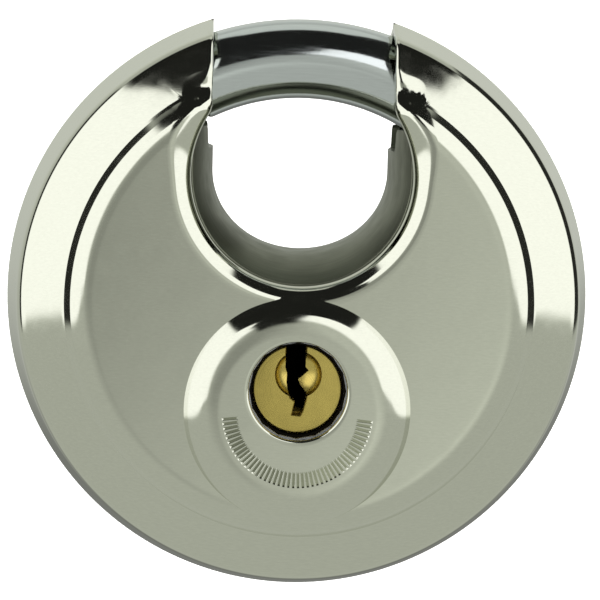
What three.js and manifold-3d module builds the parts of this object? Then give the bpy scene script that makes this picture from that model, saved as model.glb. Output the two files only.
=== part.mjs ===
// Disc padlock: two pressed steel cups joined round their rim, a round bar shackle that turns inside
// them, and a pin tumbler plug whose sector gear drives a toothed rack on the tail of the shackle.
// Millimetres, +Z up, +Y from the front face to the back. The lock is drawn about the disc's centre,
// and then hung so that the origin is the underside of the shackle at the middle of its span.
import * as THREE from "three";
import { mergeVertices } from "three/addons/utils/BufferGeometryUtils.js";
import Module from "manifold-3d";

const wasm = await Module();
wasm.setup();

const DEG = Math.PI / 180;

// Case
const DISC_RADIUS = 35;
const FACE_DEPTH = 12.8; // from the seam plane to either flat face
const WALL = 1.2;
const SEAM = 0.05; // half the gap between the two rims
// One cup from its rim to its flat face, as radius and distance from the seam.
const CUP_OUTLINE = [
  [DISC_RADIUS, SEAM],
  [33.55, 7.4],
  [33.3, 8.0],
  [32.7, 8.45],
  [28.2, 10.45],
  [27.9, 10.8],
  [27.1, 12.0],
  [26.5, 12.4],
  [24.8, FACE_DEPTH],
];
const CUP_LINING = [
  [DISC_RADIUS - WALL, -SEAM],
  [32.4, 7.0],
  [32.1, 7.4],
  [27.3, 9.53],
  [26.1, 11.3],
  [24.7, FACE_DEPTH - WALL],
];

// Throat that the hasp goes through: a round hole with a rolled lip, and a slot from it up to the rim.
const THROAT_CENTRE_Z = 15.3;
const HOLE_RADIUS = 13.1;
const HOLE_LIP = 2.2;
const SLOT_HALF = 10.8;
const SLOT_LIP = 0.5;
const BAR_GATE_Y = 5.5; // the bar passes through the slot's end walls between these
const LINER_HALF = 10.55; // at the crest of the liner, in the seam plane
const LINER_FLARE = 2.4; // more than that at its two edges
const LINER_WALL = 1.0;
const LINER_EDGE_Y = 10.3;
const LINER_BAY_Y = 10.6;
const LINER_BAY_HALF = 14.5;
const LINER_TOP_Z = 20.7;
const LINER_BAY_TOP_Z = 21;
const LINER_NOTCH_Z = 18;
const LINER_NOTCH_Y = 5.3;

// Raised boss round the plug
const BOSS_Z = -12.5;
const BOSS_OUTLINE = [
  [13.4, FACE_DEPTH],
  [12.5, 13.7],
  [11.4, 14.25],
  [10.4, 14.52],
  [9.6, 14.6],
];
const BOSS_LINING = [
  [12.0, 12.0],
  [10.9, 12.9],
  [9.3, 13.4],
];
const BOSS_HOLE_RADIUS = 5.83;

// Shackle
const SHACKLE_MEAN_RADIUS = 28.7;
const SHACKLE_BAR_RADIUS = 4.75;
const SHACKLE_START = -28; // clock angles in degrees: 0 at the top, clockwise from the front
const SHACKLE_END = 194;
const RACK_SEAT_Y = 4.2;

// Gears between plug and shackle
const GEAR_MODULE = 1;
const RING_TEETH = 48;
const SECTOR_TEETH = 28;
const PRESSURE_ANGLE = 20 * DEG;
const ADDENDUM = 0.85;
const DEDENDUM = 1.1;
const THINNING = 0.05; // taken off each half tooth at the pitch line, for backlash
const MESH_CLOCK = 180;
const CUT_TEETH = 10; // teeth in use on either piece, one of them past the mesh at rest
const RACK_Y = [4.35, 7.6];
const RACK_OUTER_RADIUS = 30.5;
const RACK_CLOCK = [113, 194.5];
const SECTOR_Y = [4.75, 7.75];
const SECTOR_HUB_RADIUS = 6.2;
const RIVET_CLOCKS = [122, 150, 178];
const RIVET_RING_RADIUS = 27.8;
const RIVET_RADIUS = 1.3;
const RIVET_HEAD_RADIUS = 1.9;
const RIVET_HEAD_Y = 8.05;
const RIVET_TIP_Y = 1.0;

// Plug and its housing
const PLUG_Z = -10;
const PLUG_RADIUS = 5.33;
const PLUG_FACE_Y = -11.6;
const PLUG_BACK_Y = 4.6;
const BORE_RADIUS = 5.43;
const TAIL_RADIUS = 3.0;
const TAIL_FLAT = 2.2;
const TAIL_STEP_Y = 8.0;
const JOURNAL_RADIUS = 2.0;
const JOURNAL_END_Y = 11.1;
const CLIP_GROOVE_RADIUS = 1.6;
const CLIP_GROOVE_Y = [10.15, 10.75];
const CLIP_INNER_RADIUS = 1.7;
const CLIP_OUTER_RADIUS = 3.4;
const CLIP_Y = [10.2, 10.7];
const CLIP_HALF_GAP = 40; // degrees
const HOUSING_RADIUS = 10.8;
const HOUSING_Y = [-11.3, 4.1];
const SPIGOT_RADIUS = 9.0;
const SPIGOT_FRONT_Y = -12.2;
const GUARD_RADIUS = 9.1;
const GUARD_Y = [-13.2, -12.4];
const GUARD_HOLE_RADIUS = 5.75;
// Keyway, from the plug's centre: it breaks out at the top, and two wards make its dog-leg.
const KEYWAY = [
  [-1.42, 5.9],
  [1.0, 5.9],
  [0.97, 2.5],
  [1.35, 2.1],
  [0.72, 1.5],
  [0.1, 1.0],
  [0.45, 0.27],
  [1.1, -0.5],
  [1.17, -0.72],
  [0.99, -1.6],
  [0.68, -2.7],
  [0.4, -3.2],
  [-0.59, -3.1],
  [-0.26, -1.5],
  [-0.82, -1.1],
  [-1.1, -0.36],
  [-1.28, 0.64],
  [-1.23, 1.73],
  [-1.45, 2.4],
];
const KEYWAY_DEPTH = 14.9;
const DISH = { x: 0.08, z: 1.73, radius: 2.78, depth: 1.6 };

// Pin stacks, heights measured down from the plug's centre
const PIN_YS = [-8, -5, -2, 1];
const PIN_RADIUS = 1.2;
const CHAMBER_RADIUS = 1.3;
const CHAMBER_ROOF = 0.8;
const KEY_PIN_FOOT = 5.15;
const KEY_PIN_LENGTHS = [2.6, 1.9, 3.1, 2.3];
const DRIVER_TOP = 5.4;
const DRIVER_FOOT = 8.4;
const COVER_TOP = 11.25;
const COVER_THICKNESS = 0.8;
const COVER_HALF_WIDTH = 1.9;
const COVER_Y = [-9.7, 2.7];
const SPRING_WIRE = 0.14;
const SPRING_RADIUS = 0.92;
const SPRING_TURNS = 3.5;

// Guide blocks and the plate behind the works
const BLOCK_X = 14.8;
const BLOCK_FOOT_Z = 1.0;
const BLOCK_OUTER_RADIUS = 23.6;
const BLOCK_Y = [-11.3, 8.6];
const PLATE_Y = [8.8, 10.0];
const PLATE_RADIUS = 25;
const PLATE_THROAT_HALF = 14;
const SCREW_RADIUS = 1.2;
const SCREW_HEAD_RADIUS = 2.0;
const SCREW_HEAD_Y = 11;
const SCREW_TIP_Y = 3;
const SCREW_PLACES = [
  [17.8, 5.5],
  [16.9, 13.0],
];

// Finishes
const steel = { color: 0xa8aa9c, roughness: 0.16, metalness: 1 };
const chrome = { color: 0xb4b9ba, roughness: 0.1, metalness: 1 };
const linerSteel = { color: 0x7c7f72, roughness: 0.42, metalness: 1 };
const brass = { color: 0xb79a4a, roughness: 0.28, metalness: 1 };
const zinc = { color: 0x9a9c9e, roughness: 0.5, metalness: 1 };
const hardSteel = { color: 0x6e7073, roughness: 0.35, metalness: 1 };

const lock = new THREE.Group();
lock.position.z = SHACKLE_BAR_RADIUS - SHACKLE_MEAN_RADIUS;

function addPiece(name, geometry, finish) {
  const mesh = new THREE.Mesh(geometry, new THREE.MeshStandardMaterial(finish));
  mesh.name = name;
  lock.add(mesh);
  return mesh;
}

// The solid inside a closed geometry, ready to be joined or cut.
function solidOf(geometry) {
  const bare = geometry.clone();
  bare.deleteAttribute("normal");
  bare.deleteAttribute("uv");
  const merged = mergeVertices(bare, 1e-4);
  const index = merged.index.array;
  const kept = [];
  for (let i = 0; i < index.length; i += 3) {
    const [a, b, c] = index.slice(i, i + 3);
    if (a !== b && b !== c && c !== a) kept.push(a, b, c);
  }
  return new wasm.Manifold(
    new wasm.Mesh({
      numProp: 3,
      vertProperties: merged.attributes.position.array,
      triVerts: new Uint32Array(kept),
    }),
  );
}

function geometryOf(solid) {
  const mesh = solid.getMesh();
  const geometry = new THREE.BufferGeometry();
  geometry.setAttribute("position", new THREE.BufferAttribute(mesh.vertProperties, 3));
  geometry.setIndex(new THREE.BufferAttribute(mesh.triVerts, 1));
  return geometry;
}

function cut(geometry, ...tools) {
  return geometryOf(tools.reduce((left, tool) => left.subtract(solidOf(tool)), solidOf(geometry)));
}

function join(...geometries) {
  const [first, ...rest] = geometries.map(solidOf);
  return geometryOf(rest.reduce((whole, solid) => whole.add(solid), first));
}

const meet = (a, b) => geometryOf(solidOf(a).intersect(solidOf(b)));

// A profile of [radius, y] points turned about the line through x and z that runs along y.
function turned(profile, { x = 0, z = 0, segments = 24 } = {}) {
  const points = profile.map(([radius, y]) => new THREE.Vector2(radius, y));
  if (THREE.ShapeUtils.area(points) < 0) points.reverse();
  return new THREE.LatheGeometry(points, segments).translate(x, 0, z);
}

// A plain cylinder along y, from its front to its back.
function rod(radius, [front, back], place) {
  const profile = [
    [0, front],
    [radius, front],
    [radius, back],
    [0, back],
  ];
  return turned(profile, place);
}

// A flat outline in x and z, as thick as the span from front to back.
function slab(shape, [front, back]) {
  const options = { depth: back - front, bevelEnabled: false, curveSegments: 8 };
  return new THREE.ExtrudeGeometry(shape, options).rotateX(Math.PI / 2).translate(0, back, 0);
}

function block([x0, x1], [y0, y1], [z0, z1]) {
  const box = new THREE.BoxGeometry(x1 - x0, y1 - y0, z1 - z0);
  return box.translate((x0 + x1) / 2, (y0 + y1) / 2, (z0 + z1) / 2);
}

const outline = (points) => new THREE.Shape(points.map(([x, z]) => new THREE.Vector2(x, z)));

// A point at a clock angle round a centre on the vertical centre line.
function onClock(radius, degrees, centreZ = 0) {
  return [radius * Math.sin(degrees * DEG), centreZ + radius * Math.cos(degrees * DEG)];
}

// Points along an arc between two clock angles, both ends included.
function clockArc(radius, from, to, steps, centreZ = 0) {
  const at = (i) => onClock(radius, from + ((to - from) * i) / steps, centreZ);
  return Array.from({ length: steps + 1 }, (_, i) => at(i));
}

function circlePath(radius, x = 0, z = 0) {
  const path = new THREE.Path();
  path.absarc(x, z, radius, 0, 2 * Math.PI, false);
  return path;
}

// Half width of the throat against y: straight in the middle, and turned out in a quarter round lip.
function throatEdge(half, lip, face) {
  const lipCentre = half + lip;
  const past = face + 4;
  const edge = [];
  for (let i = 0; i <= 5; i += 1) {
    const turn = (90 * i) / 5;
    edge.push([lipCentre - lip * Math.sin(turn * DEG), -(face - lip) - lip * Math.cos(turn * DEG)]);
  }
  const mirrored = edge.map(([x, y]) => [x, -y]).reverse();
  return [[lipCentre, -past], ...edge, ...mirrored, [lipCentre, past]];
}

// Turned about the throat's centre, from a section of [half width, y] that is open on its inner side.
function throatTurned(section, segments) {
  const [first, last] = [section[0], section.at(-1)];
  return turned([[0, first[1]], ...section, [0, last[1]]], { z: THROAT_CENTRE_Z, segments });
}

// A section of [x, y], mirrored in x if it is open on its inner side, carried straight up.
function carriedUp(section, [from, to], { mirrored = false } = {}) {
  const otherSide = mirrored ? section.map(([x, y]) => [-x, y]).reverse() : [];
  const options = { depth: to - from, bevelEnabled: false };
  return new THREE.ExtrudeGeometry(outline([...section, ...otherSide]), options).translate(0, 0, from);
}

// The throat as a cutting tool: its round hole, and the slot up past the rim.
function throatTool() {
  const hole = throatTurned(throatEdge(HOLE_RADIUS, HOLE_LIP, FACE_DEPTH), 40);
  const edge = throatEdge(SLOT_HALF, SLOT_LIP, FACE_DEPTH);
  return join(hole, carriedUp(edge, [THROAT_CENTRE_Z, THROAT_CENTRE_Z + DISC_RADIUS], { mirrored: true }));
}

// The same, larger by the sheet: what it leaves of the cup's inside is the hollow.
function throatWithWall() {
  const hole = throatTurned(throatEdge(HOLE_RADIUS + WALL, HOLE_LIP - WALL, FACE_DEPTH - WALL), 40);
  const side = SLOT_HALF + WALL;
  return join(hole, block([-side, side], [-16, 16], [THROAT_CENTRE_Z, THROAT_CENTRE_Z + DISC_RADIUS]));
}

// Room between the two lips for the liner.
function linerBay() {
  const round = throatTurned(
    [
      [LINER_BAY_HALF, -LINER_BAY_Y],
      [LINER_BAY_HALF, LINER_BAY_Y],
    ],
    40,
  );
  const upper = block(
    [-LINER_BAY_HALF, LINER_BAY_HALF],
    [-LINER_BAY_Y, LINER_BAY_Y],
    [THROAT_CENTRE_Z, LINER_BAY_TOP_Z],
  );
  return join(round, upper);
}

// One pressed cup. side is -1 for the front and 1 for the rear.
function cup(side, { boss = false } = {}) {
  const mirror = (points) => points.map(([radius, y]) => [radius, side * y]);
  const filled = (points, place) => turned([[0, points[0][1]], ...points, [0, points.at(-1)[1]]], place);
  const place = { segments: 60 };
  const bossPlace = { z: BOSS_Z, segments: 36 };
  let outside = filled(mirror(CUP_OUTLINE), place);
  let inside = filled(mirror(CUP_LINING), place);
  const gateHalf = SLOT_HALF + WALL + 2;
  const gate = meet(
    block([-gateHalf, gateHalf], [-BAR_GATE_Y, BAR_GATE_Y], [THROAT_CENTRE_Z, DISC_RADIUS]),
    inside,
  );
  if (boss) {
    outside = join(outside, filled([[BOSS_OUTLINE[0][0], -12], ...mirror(BOSS_OUTLINE)], bossPlace));
    inside = join(inside, filled([[BOSS_LINING[0][0], -11], ...mirror(BOSS_LINING)], bossPlace));
  }
  const hollow = cut(inside, throatWithWall());
  return cut(outside, throatTool(), hollow, linerBay(), gate);
}

function frontShell() {
  const plugHole = rod(BOSS_HOLE_RADIUS, [-16, -11], { z: PLUG_Z, segments: 40 });
  return cut(cup(-1, { boss: true }), plugHole);
}

// U-shaped strip between the two lips. Its inner face is crowned: the half width grows with the square
// of the distance from the seam plane. The arms are notched for the bar.
function throatLiner() {
  const ys = [-1, -0.75, -0.5, -0.25, 0, 0.25, 0.5, 0.75, 1].map((share) => share * LINER_EDGE_Y);
  const half = (y) => LINER_HALF + LINER_FLARE * (y / LINER_EDGE_Y) ** 2;
  const innerFace = ys.map((y) => [half(y), y]);
  const section = [...innerFace, ...innerFace.map(([x, y]) => [x + LINER_WALL, y]).reverse()];
  const ring = turned([...section, section[0]], { z: THROAT_CENTRE_Z, segments: 40 });
  const below = block([-20, 20], [-16, 16], [-5, THROAT_CENTRE_Z]);
  const overlap = 0.1;
  const arm = (side) =>
    carriedUp(
      section.map(([x, y]) => [side * x, y]),
      [THROAT_CENTRE_Z - overlap, LINER_TOP_Z],
    );
  const notch = block([-20, 20], [-LINER_NOTCH_Y, LINER_NOTCH_Y], [LINER_NOTCH_Z, LINER_TOP_Z + 1]);
  return cut(join(meet(ring, below), arm(-1), arm(1)), notch);
}

// The shackle's centre line: an arc about the disc's axis between two clock angles.
class BarArc extends THREE.Curve {
  getPoint(t, target = new THREE.Vector3()) {
    const [x, z] = onClock(SHACKLE_MEAN_RADIUS, SHACKLE_START + (SHACKLE_END - SHACKLE_START) * t);
    return target.set(x, 0, z);
  }
}

const rivetPlace = (clock) => {
  const [x, z] = onClock(RIVET_RING_RADIUS, clock);
  return { x, z, segments: 12 };
};

// Round bar with a flat milled for the rack, and three blind holes for its rivets.
function shackle() {
  const section = new THREE.Shape();
  section.absarc(0, 0, SHACKLE_BAR_RADIUS, 0, 2 * Math.PI, false);
  const bar = new THREE.ExtrudeGeometry(section, {
    extrudePath: new BarArc(),
    steps: 40,
    curveSegments: 8,
    bevelEnabled: false,
  });
  const seat = [
    ...clockArc(22, RACK_CLOCK[0] - 1, SHACKLE_END + 6, 12),
    ...clockArc(36, SHACKLE_END + 6, RACK_CLOCK[0] - 1, 12),
  ];
  const holes = RIVET_CLOCKS.map((clock) => rod(RIVET_RADIUS + 0.05, [0.9, 6], rivetPlace(clock)));
  return cut(bar, slab(outline(seat), [RACK_SEAT_Y, 6]), ...holes);
}

// Half angle, in degrees, that an involute tooth takes up at a radius.
function halfTooth(teeth, radius, thinning) {
  const involute = (angle) => Math.tan(angle) - angle;
  const pitch = (teeth * GEAR_MODULE) / 2;
  const base = pitch * Math.cos(PRESSURE_ANGLE);
  const slope = Math.acos(Math.min(1, base / Math.max(radius, base)));
  const atPitch = Math.PI / (2 * teeth) - thinning / pitch;
  return (atPitch + involute(PRESSURE_ANGLE) - involute(slope)) / DEG;
}

// Toothed edge on clock angles that fall from the first tooth to the last.
function toothedEdge(teeth, inner, outer, thinning, centreZ) {
  const pitchAngle = 360 / teeth;
  const radii = Array.from({ length: 4 }, (_, i) => inner + ((outer - inner) * i) / 3);
  const points = [];
  for (let i = 0; i < CUT_TEETH; i += 1) {
    const middle = MESH_CLOCK + pitchAngle - i * pitchAngle;
    const rising = radii.map((r) => onClock(r, middle + halfTooth(teeth, r, thinning), centreZ));
    const falling = radii.map((r) => onClock(r, middle - halfTooth(teeth, r, thinning), centreZ));
    points.push(...rising, ...falling.reverse());
  }
  return points;
}

// Internal rack: its tooth spaces have the shape of the teeth of an external gear of the same size.
function shackleRack() {
  const pitch = (RING_TEETH * GEAR_MODULE) / 2;
  const [from, to] = RACK_CLOCK;
  const tip = pitch - ADDENDUM;
  const spaces = toothedEdge(RING_TEETH, tip, pitch + DEDENDUM, -THINNING, 0);
  const shape = outline([
    onClock(tip, to),
    ...spaces,
    onClock(tip, from),
    ...clockArc(RACK_OUTER_RADIUS, from, to, 16),
  ]);
  for (const clock of RIVET_CLOCKS) {
    const [x, z] = onClock(RIVET_RING_RADIUS, clock);
    shape.holes.push(circlePath(RIVET_RADIUS + 0.05, x, z));
  }
  return slab(shape, RACK_Y);
}

// Two-flatted hole for the plug's tail.
function tailHole(radius, flat) {
  const corner = Math.acos(flat / radius);
  const path = new THREE.Path();
  path.absarc(0, PLUG_Z, radius, corner, Math.PI - corner, false);
  path.absarc(0, PLUG_Z, radius, Math.PI + corner, 2 * Math.PI - corner, false);
  path.closePath();
  return path;
}

function driveSector() {
  const pitch = (SECTOR_TEETH * GEAR_MODULE) / 2;
  const pitchAngle = 360 / SECTOR_TEETH;
  const first = MESH_CLOCK + 1.5 * pitchAngle;
  const last = first - CUT_TEETH * pitchAngle;
  const root = pitch - DEDENDUM;
  const teeth = toothedEdge(SECTOR_TEETH, root, pitch + ADDENDUM, THINNING, PLUG_Z);
  const shape = outline([
    onClock(root, first, PLUG_Z),
    ...teeth,
    onClock(root, last, PLUG_Z),
    ...clockArc(SECTOR_HUB_RADIUS, last - 18, first + 18 - 360, 12, PLUG_Z),
  ]);
  shape.holes.push(tailHole(TAIL_RADIUS + 0.1, TAIL_FLAT + 0.1));
  return slab(shape, SECTOR_Y);
}

const pinRod = (radius, top, foot, y) => {
  const cylinder = new THREE.CylinderGeometry(radius, radius, foot - top, 12);
  return cylinder.rotateX(Math.PI / 2).translate(0, y, PLUG_Z - (top + foot) / 2);
};

// Plug: keyway, dished entry, pin chambers from below, two flats and a grooved journal on its tail.
function plug() {
  const body = turned(
    [
      [0, PLUG_FACE_Y],
      [PLUG_RADIUS - 0.25, PLUG_FACE_Y],
      [PLUG_RADIUS, PLUG_FACE_Y + 0.25],
      [PLUG_RADIUS, PLUG_BACK_Y],
      [TAIL_RADIUS, PLUG_BACK_Y],
      [TAIL_RADIUS, TAIL_STEP_Y],
      [JOURNAL_RADIUS, TAIL_STEP_Y],
      [JOURNAL_RADIUS, CLIP_GROOVE_Y[0]],
      [CLIP_GROOVE_RADIUS, CLIP_GROOVE_Y[0]],
      [CLIP_GROOVE_RADIUS, CLIP_GROOVE_Y[1]],
      [JOURNAL_RADIUS, CLIP_GROOVE_Y[1]],
      [JOURNAL_RADIUS, JOURNAL_END_Y],
      [0, JOURNAL_END_Y],
    ],
    { z: PLUG_Z, segments: 40 },
  );
  const keyway = slab(
    outline(KEYWAY.map(([x, z]) => [x, z + PLUG_Z])),
    [PLUG_FACE_Y - 1, PLUG_FACE_Y + KEYWAY_DEPTH],
  );
  const dish = turned(
    [
      [0, PLUG_FACE_Y - 1],
      [DISH.radius, PLUG_FACE_Y - 1],
      [DISH.radius, PLUG_FACE_Y],
      [DISH.radius * 0.45, PLUG_FACE_Y + DISH.depth * 0.85],
      [0, PLUG_FACE_Y + DISH.depth],
    ],
    { x: DISH.x, z: PLUG_Z + DISH.z, segments: 24 },
  );
  const chambers = PIN_YS.map((y) => pinRod(CHAMBER_RADIUS, CHAMBER_ROOF, PLUG_RADIUS + 1, y));
  const flats = [-1, 1].map((side) =>
    block(
      [TAIL_FLAT * side, 4 * side].sort((a, b) => a - b),
      [PLUG_BACK_Y, TAIL_STEP_Y],
      [PLUG_Z - 4, PLUG_Z + 4],
    ),
  );
  return cut(body, keyway, dish, ...chambers, ...flats);
}

// Housing: a round block with a spigot into the boss, the plug's bore, pin chambers and their groove.
function cylinderHousing() {
  const body = join(
    rod(HOUSING_RADIUS, HOUSING_Y, { z: BOSS_Z, segments: 40 }),
    rod(SPIGOT_RADIUS, [SPIGOT_FRONT_Y, HOUSING_Y[0] + 0.5], { z: BOSS_Z, segments: 40 }),
  );
  const bore = rod(BORE_RADIUS, [-14, 6], { z: PLUG_Z, segments: 40 });
  const chambers = PIN_YS.map((y) => pinRod(CHAMBER_RADIUS, 4, COVER_TOP + 0.5, y));
  const groove = block(
    [-COVER_HALF_WIDTH - 0.1, COVER_HALF_WIDTH + 0.1],
    [COVER_Y[0] - 0.1, HOUSING_Y[1] + 1],
    [PLUG_Z - COVER_TOP - 3, PLUG_Z - COVER_TOP + 0.1],
  );
  return cut(body, bore, ...chambers, groove);
}

function drillGuard() {
  const shape = new THREE.Shape();
  shape.absarc(0, BOSS_Z, GUARD_RADIUS, 0, 2 * Math.PI, false);
  shape.holes.push(circlePath(GUARD_HOLE_RADIUS, 0, PLUG_Z));
  return slab(shape, GUARD_Y);
}

// A pin standing on its foot, with a small cone on the end that is marked.
function pin(top, foot, coneTop) {
  const cone = 0.35;
  const profile = [
    [0, -foot],
    [coneTop ? PIN_RADIUS : PIN_RADIUS - cone, -foot],
    [PIN_RADIUS, coneTop ? -foot : -foot + cone],
    [PIN_RADIUS, coneTop ? -top - cone : -top],
    [coneTop ? PIN_RADIUS - 2 * cone : PIN_RADIUS, -top],
    [0, -top],
  ];
  return turned(profile, { segments: 12 }).rotateX(Math.PI / 2);
}

class CoilPath extends THREE.Curve {
  getPoint(t, target = new THREE.Vector3()) {
    const turn = 2 * Math.PI * SPRING_TURNS * t;
    const top = DRIVER_FOOT + SPRING_WIRE + 0.1;
    const foot = COVER_TOP - SPRING_WIRE - 0.1;
    const height = top + (foot - top) * t;
    return target.set(SPRING_RADIUS * Math.cos(turn), SPRING_RADIUS * Math.sin(turn), -height);
  }
}

function pinSpring() {
  const wire = new THREE.Shape();
  wire.absarc(0, 0, SPRING_WIRE, 0, 2 * Math.PI, false);
  return new THREE.ExtrudeGeometry(wire, {
    extrudePath: new CoilPath(),
    steps: 8 * SPRING_TURNS,
    curveSegments: 3,
    bevelEnabled: false,
  });
}

function addPinStacks() {
  PIN_YS.forEach((y, i) => {
    const number = i + 1;
    const keyPinTop = KEY_PIN_FOOT - KEY_PIN_LENGTHS[i];
    const stack = [
      addPiece(`key_pin_${number}`, pin(keyPinTop, KEY_PIN_FOOT, true), brass),
      addPiece(`driver_pin_${number}`, pin(DRIVER_TOP, DRIVER_FOOT, false), hardSteel),
      addPiece(`pin_spring_${number}`, pinSpring(), chrome),
    ];
    stack.forEach((mesh) => mesh.position.set(0, y, PLUG_Z));
  });
}

// Block between the throat wall and the inside of the shackle, which it guides.
function guideBlock(side) {
  const reach = Math.asin(BLOCK_X / BLOCK_OUTER_RADIUS) / DEG;
  const low = Math.acos(BLOCK_FOOT_Z / BLOCK_OUTER_RADIUS) / DEG;
  const points = [[BLOCK_X, BLOCK_FOOT_Z], ...clockArc(BLOCK_OUTER_RADIUS, low, reach, 10)];
  const shape = outline(points.map(([x, z]) => [side * x, z]));
  const holes = SCREW_PLACES.map(([x, z]) =>
    rod(SCREW_RADIUS + 0.05, [2.8, 10], { x: side * x, z, segments: 12 }),
  );
  return cut(slab(shape, BLOCK_Y), ...holes);
}

// Plate behind the works: it bears the plug's journal and is screwed to the guide blocks.
function backPlate() {
  const reach = Math.asin(PLATE_THROAT_HALF / PLATE_RADIUS) / DEG;
  const throatFloor = clockArc(PLATE_THROAT_HALF, 270, 90, 12, THROAT_CENTRE_Z);
  const shape = outline([...clockArc(PLATE_RADIUS, reach, 360 - reach, 32), ...throatFloor]);
  shape.holes.push(circlePath(JOURNAL_RADIUS + 0.09, 0, PLUG_Z));
  for (const [x, z] of SCREW_PLACES) {
    shape.holes.push(circlePath(SCREW_RADIUS + 0.1, x, z), circlePath(SCREW_RADIUS + 0.1, -x, z));
  }
  return slab(shape, PLATE_Y);
}

// A headed fastener along y with its head towards the back.
function fastener(radius, headRadius, tip, shoulder, end, place) {
  const profile = [
    [0, tip],
    [radius, tip],
    [radius, shoulder],
    [headRadius, shoulder],
    [headRadius, end],
    [0, end],
  ];
  return turned(profile, { segments: 12, ...place });
}

function tailClip() {
  const gap = CLIP_HALF_GAP;
  const shape = outline([
    ...clockArc(CLIP_OUTER_RADIUS, gap, 360 - gap, 16, PLUG_Z),
    ...clockArc(CLIP_INNER_RADIUS, 360 - gap, gap, 12, PLUG_Z),
  ]);
  return slab(shape, CLIP_Y);
}

function addFasteners() {
  RIVET_CLOCKS.forEach((clock, i) => {
    const underHead = RACK_Y[1] + 0.05;
    const place = rivetPlace(clock);
    const shape = fastener(RIVET_RADIUS, RIVET_HEAD_RADIUS, RIVET_TIP_Y, underHead, RIVET_HEAD_Y, place);
    addPiece(`rack_rivet_${i + 1}`, shape, hardSteel);
  });
  const places = [...SCREW_PLACES, ...SCREW_PLACES.map(([x, z]) => [-x, z])];
  places.forEach(([x, z], i) => {
    const underHead = PLATE_Y[1] + 0.05;
    const place = { x, z };
    const shape = fastener(SCREW_RADIUS, SCREW_HEAD_RADIUS, SCREW_TIP_Y, underHead, SCREW_HEAD_Y, place);
    addPiece(`plate_screw_${i + 1}`, shape, hardSteel);
  });
  addPiece("tail_clip", tailClip(), hardSteel);
}

addPiece("front_shell", frontShell(), steel);
addPiece("rear_shell", cup(1), steel);
addPiece("throat_liner", throatLiner(), linerSteel);
addPiece("shackle", shackle(), chrome);
addPiece("shackle_rack", shackleRack(), hardSteel);
addPiece("plug", plug(), brass);
addPiece("drive_sector", driveSector(), hardSteel);
addPiece("cylinder_housing", cylinderHousing(), brass);
addPiece("drill_guard", drillGuard(), hardSteel);
addPiece(
  "chamber_cover",
  block([-COVER_HALF_WIDTH, COVER_HALF_WIDTH], COVER_Y, [
    PLUG_Z - COVER_TOP - COVER_THICKNESS,
    PLUG_Z - COVER_TOP,
  ]),
  brass,
);
addPiece("guide_block_right", guideBlock(1), zinc);
addPiece("guide_block_left", guideBlock(-1), zinc);
addPiece("back_plate", backPlate(), zinc);
addPinStacks();
addFasteners();

const padlock = new THREE.Group();
padlock.add(lock);

export default padlock;
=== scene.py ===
"""Disc padlock: the fine surfaces, the finishes and the studio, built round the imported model."""

import math

import bmesh
import bpy
import numpy as np
from mathutils import Matrix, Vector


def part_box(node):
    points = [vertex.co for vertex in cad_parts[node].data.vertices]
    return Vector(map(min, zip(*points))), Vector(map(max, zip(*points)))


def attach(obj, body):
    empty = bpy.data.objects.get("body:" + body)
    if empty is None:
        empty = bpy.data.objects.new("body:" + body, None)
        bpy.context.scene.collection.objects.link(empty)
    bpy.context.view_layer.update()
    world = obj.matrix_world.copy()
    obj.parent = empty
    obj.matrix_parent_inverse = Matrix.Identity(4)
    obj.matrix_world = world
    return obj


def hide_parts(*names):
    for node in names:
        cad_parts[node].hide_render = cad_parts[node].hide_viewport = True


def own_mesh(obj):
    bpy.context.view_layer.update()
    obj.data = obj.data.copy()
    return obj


bl_info = {
    "name": "Disc Padlock",
    "version": (1, 0, 0),
    "blender": (4, 5, 0),
    "location": "View3D > Sidebar > Padlock",
    "description": "Builds the pressed cups, liner, shackle, plug and springs of a disc padlock",
    "category": "Object",
}

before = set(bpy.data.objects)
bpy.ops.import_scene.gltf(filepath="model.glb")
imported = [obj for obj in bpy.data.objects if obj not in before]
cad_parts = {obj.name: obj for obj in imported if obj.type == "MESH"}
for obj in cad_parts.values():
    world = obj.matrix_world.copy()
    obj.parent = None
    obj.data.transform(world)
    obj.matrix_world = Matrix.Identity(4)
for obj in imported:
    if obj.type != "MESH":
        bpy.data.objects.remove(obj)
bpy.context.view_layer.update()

# Places read from the frame, in millimetres. Shapes are drawn about the disc's centre, with z up and y
# from the front face to the back, and are put in place by placed().
MM = 1000.0


def node_box(name):
    """Lowest and highest corner of a node in millimetres."""
    low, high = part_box(name)
    return np.array(low) * MM, np.array(high) * MM


CUP_LOW, CUP_HIGH = node_box("rear_shell")
DISC_RADIUS = (CUP_HIGH[0] - CUP_LOW[0]) / 2
CENTRE_Z = CUP_LOW[2] + DISC_RADIUS
FACE_DEPTH = CUP_HIGH[1]
BOSS_DEPTH = -node_box("front_shell")[0][1]

PLUG_LOW, PLUG_HIGH = node_box("plug")
PLUG_RADIUS = (PLUG_HIGH[0] - PLUG_LOW[0]) / 2
PLUG_Z = (PLUG_LOW[2] + PLUG_HIGH[2]) / 2 - CENTRE_Z
PLUG_FACE_Y = PLUG_LOW[1]
PLUG_END_Y = PLUG_HIGH[1]

GUARD_LOW, GUARD_HIGH = node_box("drill_guard")
BOSS_Z = (GUARD_LOW[2] + GUARD_HIGH[2]) / 2 - CENTRE_Z

LINER_LOW, LINER_HIGH = node_box("throat_liner")
LINER_EDGE_Y = LINER_HIGH[1]
LINER_TOP_Z = LINER_HIGH[2] - CENTRE_Z
LINER_OUTER = LINER_HIGH[0]
THROAT_Z = LINER_LOW[2] - CENTRE_Z + LINER_OUTER

SEAM = 0.05


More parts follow.
